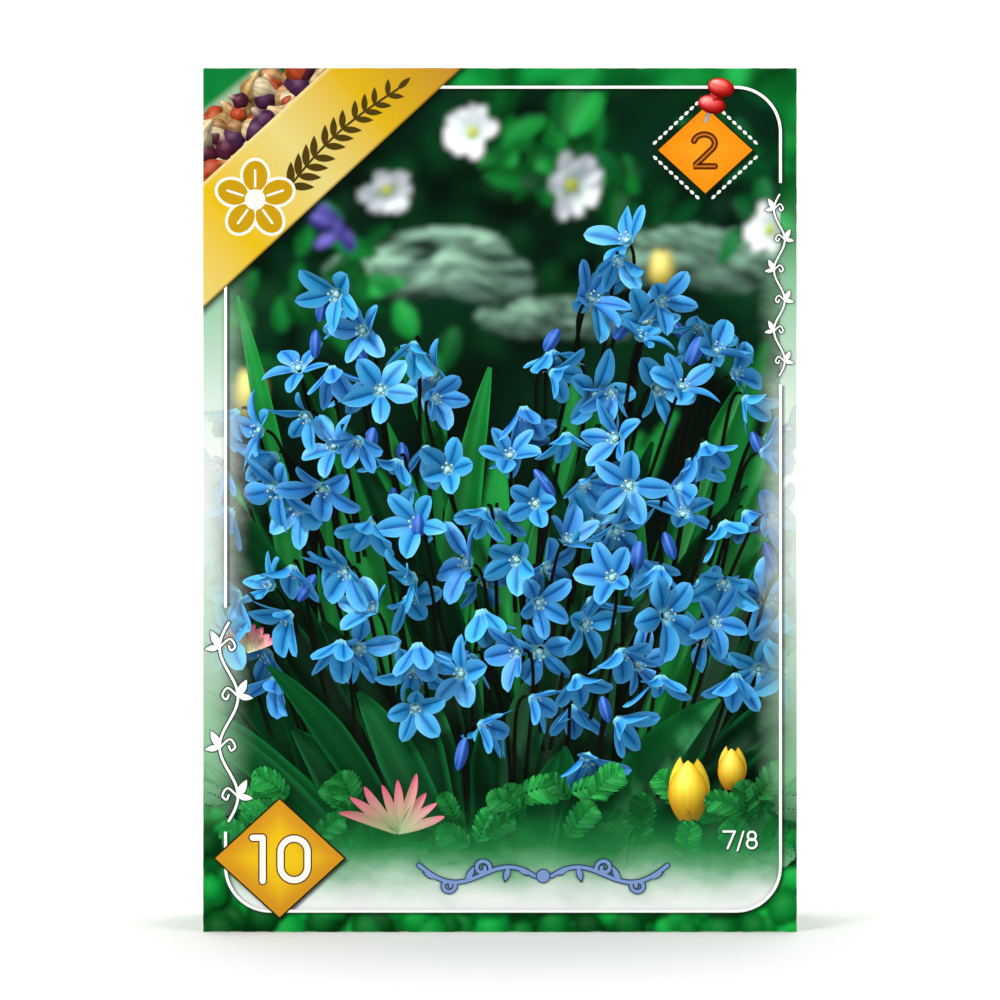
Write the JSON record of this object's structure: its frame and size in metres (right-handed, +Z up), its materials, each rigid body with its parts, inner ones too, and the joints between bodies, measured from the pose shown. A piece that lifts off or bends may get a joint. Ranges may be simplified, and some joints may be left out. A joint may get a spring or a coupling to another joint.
{
  "type": "flower bulb pack",
  "caption": "Upright printed paperboard carton of small flower bulbs, with tucked ends, side vents and a clear window in its back.",
  "frame": {"origin": "centre of the footprint, on the surface that the carton stands on", "axes": "+X to the right as the picture panel is faced, the picture panel faces -Y, the back panel with the window faces +Y, +Z up"},
  "size_m": [0.11, 0.03, 0.16],
  "materials": {
    "printed_board": "gloss",
    "clear_film": "gloss",
    "bulb_skin": "satin"
  },
  "bodies": {
    "root": {"carton": "printed_board", "window_film": "clear_film", "bulb_01": "bulb_skin", "bulb_02": "bulb_skin", "bulb_03": "bulb_skin", "bulb_04": "bulb_skin", "bulb_05": "bulb_skin", "bulb_06": "bulb_skin", "bulb_07": "bulb_skin", "bulb_08": "bulb_skin", "bulb_09": "bulb_skin", "bulb_10": "bulb_skin"}
  },
  "joints": []
}
